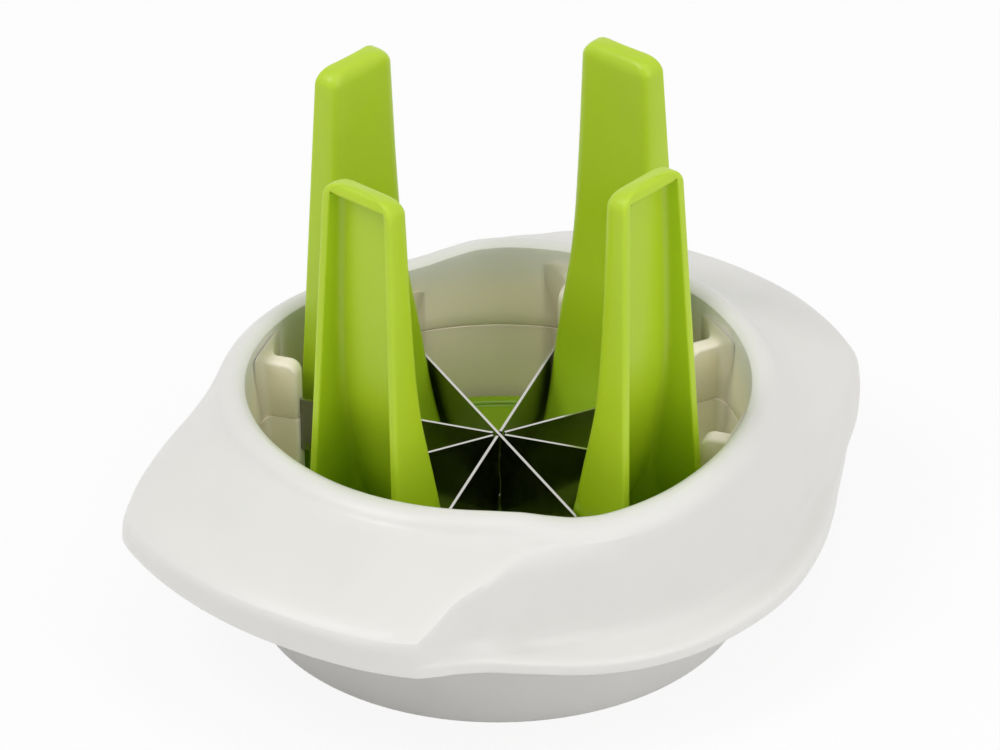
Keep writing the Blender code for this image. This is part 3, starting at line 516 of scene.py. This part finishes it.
def shape_upper_rib(top):
    """An upper rib: its inner top corner rounded, its edges softened, its root flared."""
    foot = PARTING_HEIGHT
    rib = add_block("upper_rib", (RIB_INNER_RADIUS, -RIB_HALF, foot),
                    (RIB_OUTER_RADIUS, RIB_HALF, top))
    start_shaping()
    bevel_picked(lambda edge: at_inner_end(edge) and all(
        vert.co.z > top - NEAR for vert in edge.verts), RIB_CORNER, 8)

    def along_side(edge):
        same_side = edge.verts[0].co.y * edge.verts[1].co.y > 0
        at_foot = all(vert.co.z < foot + NEAR for vert in edge.verts)
        at_root = all(vert.co.x > RIB_OUTER_RADIUS - NEAR for vert in edge.verts)
        return same_side and not at_foot and not at_root

    bevel_picked(along_side, RIB_EDGE, 5)
    bevel_picked(lambda edge: all(vert.co.z < foot + NEAR for vert in edge.verts)
                 and not all(vert.co.x > RIB_OUTER_RADIUS - NEAR for vert in edge.verts),
                 PARTING_EDGE * 0.7, 2)
    flare_into_wall(UPPER_RIB_WALL, foot, top - foot)
    stop_shaping()
    slot = add_block("slot", (SLOT_START, -SLOT_HALF, foot - OVERRUN),
                     (SLOT_END, SLOT_HALF, BLADE_TOP_HEIGHT + BLADE_SLACK))
    cut_with(rib, slot)
    return rib


def shape_lower_rib():
    """A lower rib: soft edges down its inner end and along its foot, its root flared."""
    top = PARTING_HEIGHT - PARTING_GAP
    rib = add_block("lower_rib", (RIB_INNER_RADIUS, -RIB_HALF, RIB_FOOT_HEIGHT),
                    (RIB_OUTER_RADIUS, RIB_HALF, top))
    start_shaping()
    bevel_picked(lambda edge: at_inner_end(edge) or (
        all(vert.co.z < RIB_FOOT_HEIGHT + NEAR for vert in edge.verts)
        and edge.verts[0].co.y * edge.verts[1].co.y > 0), RIB_EDGE * 0.7, 4)
    flare_into_wall(LOWER_RIB_WALL, top, top - RIB_FOOT_HEIGHT)
    stop_shaping()
    slot = add_block("slot", (SLOT_START, -SLOT_HALF, BLADE_BOTTOM_HEIGHT - BLADE_SLACK),
                     (SLOT_END, SLOT_HALF, top + OVERRUN))
    cut_with(rib, slot)
    return rib


# Screw posts and lugs under the wings

def make_post(angle):
    """A screw post with its blind hole, from the lug up into the wing's shell."""
    roof = soft_line(angle)[20:-6]
    top = float(np.interp(SCREW_RADIUS + POST_RADIUS, roof[:, 0], roof[:, 1])) - POST_SUNK
    points = [(SCREW_HOLE, POST_HOLE_TOP), (SCREW_HOLE, POST_FOOT), (POST_RADIUS, POST_FOOT),
              (POST_RADIUS, top)]
    post = turn_profile("post", points, 32, False)
    post.data.transform(Matrix.Translation((SCREW_RADIUS, 0, 0)))
    post.data.transform(Matrix.Rotation(math.radians(angle), 4, "Z"))
    return post


def make_lug():
    """An ear of the lower ring: it rises beside the tube and runs out under the post."""
    lug = add_block("lug", (41.1 * MM, -4 * MM, 22.8 * MM), (55.6 * MM, 4 * MM, 28.9 * MM))
    start_shaping()
    bevel_picked(lambda edge: all(vert.co.x > 55 * MM for vert in edge.verts)
                 and edge.verts[0].co.y == edge.verts[1].co.y, 3.2 * MM, 8)
    stop_shaping()
    under = add_block("under", (45.4 * MM, -6 * MM, 20 * MM), (60 * MM, 6 * MM, 26.5 * MM))
    cut_with(lug, under)
    over = add_block("over", (40 * MM, -6 * MM, 24.8 * MM), (42.2 * MM, 6 * MM, 30 * MM))
    cut_with(lug, over)
    bpy.ops.mesh.primitive_cylinder_add(vertices=32, radius=SCREW_HOLE, depth=8 * MM,
                                        location=(SCREW_RADIUS, 0, 27 * MM))
    cut_with(lug, bpy.context.object)
    make_active(lug)
    start_shaping()
    bpy.ops.mesh.select_all(action="SELECT")
    bpy.ops.mesh.remove_doubles(threshold=DOUBLED)
    stop_shaping()
    return lug


# Mouldings

def make_upper_moulding(plastic):
    pieces = [make_swirled_ring()]
    for top, angles in (TALL_RIBS, LOW_RIBS):
        rib = shape_upper_rib(top)
        pieces += [copy_turned(rib, angle) for angle in angles]
        bpy.data.objects.remove(rib)
    pieces += [make_post(angle) for angle in SCREW_ANGLES]
    moulding = join(pieces, "upper_ring_moulding")
    return finish_piece(moulding, "upper_ring_moulding", plastic, "cutter", "upper_ring")


def make_lower_moulding(plastic):
    top = PARTING_HEIGHT - PARTING_GAP
    bends = [(BORE_RADIUS, top), (SKIRT_RADIUS, top), (SKIRT_RADIUS, SKIRT_BEND_HEIGHT),
             (SKIRT_FOOT_RADIUS, 0), (SKIRT_FOOT_BORE, 0)]
    points = round_corners(bends, SKIRT_ROUNDS)
    pieces = [turn_profile("skirt", [tuple(point) for point in points], 192, True)]
    rib = shape_lower_rib()
    pieces += [copy_turned(rib, angle) for angle in TALL_RIBS[1] + LOW_RIBS[1]]
    bpy.data.objects.remove(rib)
    lug = make_lug()
    pieces += [copy_turned(lug, angle) for angle in SCREW_ANGLES]
    bpy.data.objects.remove(lug)
    moulding = join(pieces, "lower_ring_moulding")
    return finish_piece(moulding, "lower_ring_moulding", plastic, "cutter", "lower_ring")


# Fingers of the holder

def web_face(height):
    share = (height - FLOOR_HEIGHT) / (FINGER_TOP - FLOOR_HEIGHT)
    return lerp(FINGER_END[0], FINGER_FOOT[0],
                read_curve(WEB_SHARES, min(max(share, 0.0), 1.0)))


def web_back(height):
    """Back of the web, so that its wall keeps its thickness where it slants."""
    rise = FINGER_WALL / 2
    slant = (web_face(height + rise) - web_face(height)) / rise
    return web_face(height) + FINGER_WALL * math.hypot(1, slant)


def beside_blade(face, half_width, edge, wall):
    """A web's two corners on one side, kept clear of the blade beside the finger."""
    clear = (BLADE_CLEARANCE + wall) / math.cos(HALF_SECTOR)
    narrow = min(half_width - edge, face * math.tan(HALF_SECTOR) - clear)
    wide = max(face + edge, (half_width + clear) / math.tan(HALF_SECTOR))
    return (face, narrow), (wide, half_width)


def finger_half(height, drawn_in=0.0):
    """Half a finger's outline: web, side, tip of the flange, then back along the channel.
    Returns it with the number of points that belong to the outside."""
    share = (height - FLOOR_HEIGHT) / (FINGER_TOP - FLOOR_HEIGHT)
    face = web_face(height) + TOP_DRAWN_IN[0] * drawn_in
    tip = lerp(FINGER_FOOT[1], FINGER_END[1], share) - TOP_DRAWN_IN[1] * drawn_in
    half_width = lerp(FINGER_FOOT[2], FINGER_END[2], share) - TOP_DRAWN_IN[2] * drawn_in
    narrow, wide = beside_blade(face, half_width, 1.0 * MM, 0)
    inside = half_width - FINGER_WALL
    back = web_back(height)
    inner_narrow, inner_wide = beside_blade(back, inside, 0.7 * MM, FINGER_WALL)
    bends = [(face, 0), narrow, wide, (tip, half_width), (tip, inside), inner_wide,
             inner_narrow, (back, 0)]
    points = []
    for i, (bend, radius) in enumerate(zip(bends, FINGER_ROUNDS)):
        bend = Vector(bend)
        if not radius:
            points.append(bend)
            continue
        before, after = Vector(bends[i - 1]) - bend, Vector(bends[i + 1]) - bend
        first = before * min(radius / before.length, 0.45)
        second = after * min(radius / after.length, 0.45)
        for k in range(FINGER_ROUND_STEPS):
            t = k / (FINGER_ROUND_STEPS - 1)
            points.append(bend + first * (1 - t) ** 2 + second * t * t)
    return points, 1 + 3 * FINGER_ROUND_STEPS + 3


def finger_ring(height, drawn_in=0.0, mouth=None):
    """A finger's whole outline. Where it is solid, the channel's points lie across its
    mouth, set in by that much."""
    half, outside = finger_half(height, drawn_in)
    if mouth is not None:
        edge = half[outside]
        count = len(half) - outside - 1
        for k in range(count + 1):
            half[outside + k] = Vector((edge.x - mouth, lerp(edge.y, 0, k / count)))
    other = [Vector((point.x, -point.y)) for point in reversed(half[1:-1])]
    return [(point.x, point.y, height) for point in half + other]


def crowned(ring, share, rise):
    """A ring drawn in towards its own middle and lifted."""
    middle = sum((Vector(point) for point in ring), Vector()) / len(ring)
    return [tuple(Vector(point).lerp(middle, share) + Vector((0, 0, rise))) for point in ring]


def make_finger():
    """A finger lofted from its foot to its crowned top, solid above the channel's ceiling."""
    ceiling = FINGER_TOP - FINGER_CAP
    shoulder = FINGER_TOP - TOP_CROWN - TOP_ROUND
    heights = [FLOOR_HEIGHT - 0.8 * MM]
    heights += [lerp(FLOOR_HEIGHT, shoulder, (k / FINGER_STATIONS) ** 1.35)
                for k in range(FINGER_STATIONS + 1)]
    rings = [finger_ring(height) for height in heights]
    turns = [math.radians(90) * k / 10 for k in range(1, 11)]
    placed = [(shoulder + TOP_ROUND * math.sin(turn), 1 - math.cos(turn)) for turn in turns]
    below = [row for row in placed if row[0] < ceiling - 0.1 * MM]
    above = [row for row in placed if row[0] > ceiling + 0.1 * MM]
    rings += [finger_ring(*row) for row in below]
    at_ceiling = 1 - math.sqrt(1 - ((ceiling - shoulder) / TOP_ROUND) ** 2)
    rings.append(finger_ring(ceiling, at_ceiling))
    rings.append(finger_ring(ceiling, at_ceiling, 0.3 * MM))
    rings += [finger_ring(*row, 0.0) for row in above]
    last = rings[-1]
    for share in (0.2, 0.45, 0.7, 0.9):
        rings.append(crowned(last, share, TOP_CROWN * (1 - (1 - share) ** 2)))
    return loft("finger", rings, False)


def make_holder_moulding(plastic):
    """The holder: a disc with a raised rim and an open underside, and its four fingers."""
    bends = [(MIDDLE_RADIUS, FLOOR_HEIGHT), (PANEL_RADIUS, FLOOR_HEIGHT),
             (PANEL_RIM_RADIUS, DISC_RIM_HEIGHT), (DISC_RADIUS, DISC_RIM_HEIGHT),
             (DISC_RADIUS, 0), (DISC_BORE, 0), (DISC_BORE, DISC_UNDERSIDE),
             (MIDDLE_RADIUS, DISC_UNDERSIDE)]
    points = round_corners(bends, DISC_ROUNDS)
    disc = turn_profile("disc", [tuple(point) for point in points], 192, False)
    finger = make_finger()
    pieces = [disc] + [copy_turned(finger, angle) for angle in FINGER_ANGLES]
    bpy.data.objects.remove(finger)
    moulding = join(pieces, "holder_moulding")
    return finish_piece(moulding, "holder_moulding", plastic, "holder", "holder")


# Finishes

def new_finish(name):
    made = bpy.data.materials.new(name)
    made.use_nodes = True
    nodes, links = made.node_tree.nodes, made.node_tree.links
    shader = nodes["Principled BSDF"]
    place = nodes.new("ShaderNodeTexCoord").outputs["Object"]
    return made, nodes, links, shader, place


def noise(nodes, links, place, scale, detail=2.0, roughness=0.5, stretch=None):
    if stretch:
        mapping = nodes.new("ShaderNodeMapping")
        mapping.inputs["Scale"].default_value = stretch
        links.new(place, mapping.inputs["Vector"])
        place = mapping.outputs["Vector"]
    made = nodes.new("ShaderNodeTexNoise")
    made.inputs["Scale"].default_value = scale
    made.inputs["Detail"].default_value = detail
    made.inputs["Roughness"].default_value = roughness
    links.new(place, made.inputs["Vector"])
    return made.outputs["Fac"]


def span(nodes, links, value, low, high, from_low=0.3, from_high=0.7):
    made = nodes.new("ShaderNodeMapRange")
    made.inputs["From Min"].default_value = from_low
    made.inputs["From Max"].default_value = from_high
    made.inputs["To Min"].default_value = low
    made.inputs["To Max"].default_value = high
    links.new(value, made.inputs["Value"])
    return made.outputs["Result"]


def blend_colours(nodes, links, share, first, second):
    made = nodes.new("ShaderNodeMix")
    made.data_type = "RGBA"
    for socket, value in ((made.inputs[6], first), (made.inputs[7], second)):
        if isinstance(value, tuple):
            socket.default_value = (*value, 1)
        else:
            links.new(value, socket)
    links.new(share, made.inputs[0])
    return made.outputs[2]


def combine(nodes, links, kind, first, second):
    """A sum of two values, of a named kind. The second can be a plain number."""
    made = nodes.new("ShaderNodeMath")
    made.operation = kind
    links.new(first, made.inputs[0])
    if isinstance(second, float):
        made.inputs[1].default_value = second
    else:
        links.new(second, made.inputs[1])
    return made.outputs[0]


def bump(nodes, links, shader, layers):
    """Adds bumps, each of a height, a distance and a strength, one over the other."""
    normal = None
    for height, distance, strength in layers:
        made = nodes.new("ShaderNodeBump")
        made.inputs["Distance"].default_value = distance
        made.inputs["Strength"].default_value = strength
        links.new(height, made.inputs["Height"])
        if normal is not None:
            links.new(normal, made.inputs["Normal"])
        normal = made.outputs["Normal"]
    links.new(normal, shader.inputs["Normal"])


def painted_light_inside_bore(nodes, links, place):
    """Share of the painted warm light: none on the rim, full down in the bore and on the ribs."""
    parts = nodes.new("ShaderNodeSeparateXYZ")
    links.new(place, parts.inputs[0])
    flat = nodes.new("ShaderNodeCombineXYZ")
    links.new(parts.outputs["X"], flat.inputs["X"])
    links.new(parts.outputs["Y"], flat.inputs["Y"])
    length = nodes.new("ShaderNodeVectorMath")
    length.operation = "LENGTH"
    links.new(flat.outputs[0], length.inputs[0])
    inward = span(nodes, links, length.outputs["Value"], 1.0, 0.0, *PAINTED_LIGHT_RADII)
    downward = span(nodes, links, parts.outputs["Z"], 1.0, 0.0, *PAINTED_LIGHT_HEIGHTS)
    return combine(nodes, links, "MULTIPLY", inward, downward)


def moulded_plastic(name, tones, gloss, rub, painted_warm_light=None, painted_shade=None):
    """Moulded plastic: slow drift of colour, fine grain, and rubbed duller patches, with a
    little light let through. The painted warm light, where given, comes in down the inside of
    the bore, and the painted shade deepens the colour towards the foot, where less light comes
    through."""
    made, nodes, links, shader, place = new_finish(name)
    drift = noise(nodes, links, place, 38, 3.0)
    grain = noise(nodes, links, place, 2600, 2.0)
    patches = noise(nodes, links, place, 120, 4.0, 0.6)
    pale, deep = tones
    colour = blend_colours(nodes, links, span(nodes, links, drift, 0.0, 1.0), deep, pale)
    # painted warm light down the inside of the bore
    if painted_warm_light:
        share = painted_light_inside_bore(nodes, links, place)
        colour = blend_colours(nodes, links, share, colour, painted_warm_light)
    # painted shade: deeper green towards the foot
    if painted_shade:
        depth = nodes.new("ShaderNodeSeparateXYZ")
        links.new(place, depth.inputs[0])
        share = span(nodes, links, depth.outputs["Z"], 0.0, 1.0, *PAINTED_SHADE_HEIGHTS)
        colour = blend_colours(nodes, links, share, painted_shade, colour)
    shader.inputs["Subsurface Weight"].default_value = 0.35
    shader.inputs["Subsurface Radius"].default_value = pale
    shader.inputs["Subsurface Scale"].default_value = LIGHT_DEPTH
    links.new(colour, shader.inputs["Base Color"])
    links.new(span(nodes, links, patches, gloss, gloss + rub), shader.inputs["Roughness"])
    bump(nodes, links, shader, ((patches, 0.02 * MM, 0.25), (grain, 0.01 * MM, 0.25)))
    shader.inputs["IOR"].default_value = 1.49
    return made


def rolled_steel(name, colour, gloss, stretch, lines, edge=None):
    """Steel with fine rolling lines, and faint water marks in its gloss. The edge colour,
    where given, is a painted highlight on what faces up."""
    made, nodes, links, shader, place = new_finish(name)
    rolled = noise(nodes, links, place, 900, 3.0, 0.6, stretch)
    marks = noise(nodes, links, place, 160, 3.0)
    darker = tuple(0.82 * part for part in colour)
    shade = blend_colours(nodes, links, span(nodes, links, rolled, 0.0, 1.0), darker, colour)
    # painted highlight: what faces up takes the lighter colour
    if edge:
        facing = nodes.new("ShaderNodeSeparateXYZ")
        links.new(nodes.new("ShaderNodeNewGeometry").outputs["True Normal"], facing.inputs[0])
        share = span(nodes, links, facing.outputs["Z"], 0.0, 1.0, 0.5, 0.8)
        shade = blend_colours(nodes, links, share, shade, edge)
    links.new(shade, shader.inputs["Base Color"])
    links.new(span(nodes, links, marks, gloss, gloss + 0.12), shader.inputs["Roughness"])
    bump(nodes, links, shader, ((rolled, 0.006 * MM, lines),))
    shader.inputs["Metallic"].default_value = 1.0
    return made


def finish_cad_nodes():
    steel = rolled_steel("blade_steel_painted_light_and_shade", BLADE_STEEL_AND_PAINTED_SHADE, 0.12, (1, 1, 14), 0.03, BLADE_PAINTED_HIGHLIGHT)
    plated = rolled_steel("plated_screw_steel", PLATED_STEEL, 0.2, (1, 1, 1), 0.2)
    for name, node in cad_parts.items():
        for prefix, metal in (("blade", steel), ("ring_screw", plated)):
            if name.startswith(prefix):
                node.data.materials.clear()
                node.data.materials.append(metal)


# Table, light and camera

def paper_floor():
    """Pale paper that reads white to the camera and in gloss, and keeps the shadow."""
    made, nodes, links, shader, place = new_finish("pale_paper")
    nodes.remove(shader)
    paper = nodes.new("ShaderNodeBsdfDiffuse")
    paper.inputs["Color"].default_value = (0.9, 0.9, 0.9, 1)
    white = nodes.new("ShaderNodeEmission")
    seen = nodes.new("ShaderNodeLightPath").outputs
    mixed = nodes.new("ShaderNodeMixShader")
    either = combine(nodes, links, "MAXIMUM", seen["Is Camera Ray"], seen["Is Glossy Ray"])
    also = combine(nodes, links, "MAXIMUM", either, seen["Is Transmission Ray"])
    share = combine(nodes, links, "MULTIPLY", also, PAPER_WHITENESS)
    links.new(share, mixed.inputs[0])
    links.new(paper.outputs[0], mixed.inputs[1])
    links.new(white.outputs[0], mixed.inputs[2])
    links.new(mixed.outputs[0], nodes["Material Output"].inputs["Surface"])
    return made


def lay_table():
    bpy.ops.mesh.primitive_plane_add(size=6, location=(0, 0, 0))
    table = bpy.context.object
    table.name = "paper"
    table.data.materials.append(paper_floor())


def soft_room():
    """An even pale room. The camera and gloss see it white."""
    world = bpy.data.worlds.new("soft_room")
    world.use_nodes = True
    nodes, links = world.node_tree.nodes, world.node_tree.links
    seen = nodes.new("ShaderNodeLightPath").outputs
    either = combine(nodes, links, "MAXIMUM", seen["Is Camera Ray"], seen["Is Glossy Ray"])
    strength = span(nodes, links, either, ROOM_LIGHT, 1.0, 0.0, 1.0)
    links.new(strength, nodes["Background"].inputs["Strength"])
    nodes["Background"].inputs["Color"].default_value = (1, 1, 1, 1)
    bpy.context.scene.world = world


def light_table():
    """Soft square lamps, all turned to the object."""
    for name, place, size, level in LAMPS:
        lamp = bpy.data.lights.new(name, "AREA")
        lamp.size = size
        held = bpy.data.objects.new(name, lamp)
        bpy.context.collection.objects.link(held)
        held.location = place
        aim = Vector((0, 0, 0.03)) - held.location
        lamp.energy = level * (math.pi * aim.length) ** 2
        held.rotation_euler = aim.to_track_quat("-Z", "Y").to_euler()


def place_camera():
    """The photo's camera: its tilt and roll first, then its turn round the object."""
    lens = bpy.data.cameras.new("camera")
    lens.lens = 194.76
    lens.sensor_width = 36
    lens.clip_start = 0.01
    tilt, roll, turn = math.radians(31.27), math.radians(-0.5), math.radians(-25.8)
    ahead = Vector((0, math.cos(tilt), -math.sin(tilt)))
    right = Vector((1, 0, 0))
    up = right.cross(ahead)
    across = right * math.cos(roll) + up * math.sin(roll)
    over = up * math.cos(roll) - right * math.sin(roll)
    place = Vector((0.00026, 0, 0.03949)) - ahead * 0.864
    matrix = Matrix((across, over, -ahead)).transposed().to_4x4()
    matrix.translation = place
    camera = bpy.data.objects.new("camera", lens)
    bpy.context.collection.objects.link(camera)
    camera.matrix_world = Matrix.Rotation(turn, 4, "Z") @ matrix
    bpy.context.scene.camera = camera


place_camera()
green = moulded_plastic("green_moulded_plastic", GREEN, 0.28, 0.14, painted_shade=GREEN_PAINTED_SHADE)
white = moulded_plastic("white_moulded_plastic", WHITE, 0.3, 0.14, painted_warm_light=WHITE_PAINTED_WARM_LIGHT)
make_holder_moulding(green)
make_upper_moulding(white)
make_lower_moulding(white)
finish_cad_nodes()
lay_table()
soft_room()
light_table()
bpy.context.scene.view_settings.view_transform = "Standard"
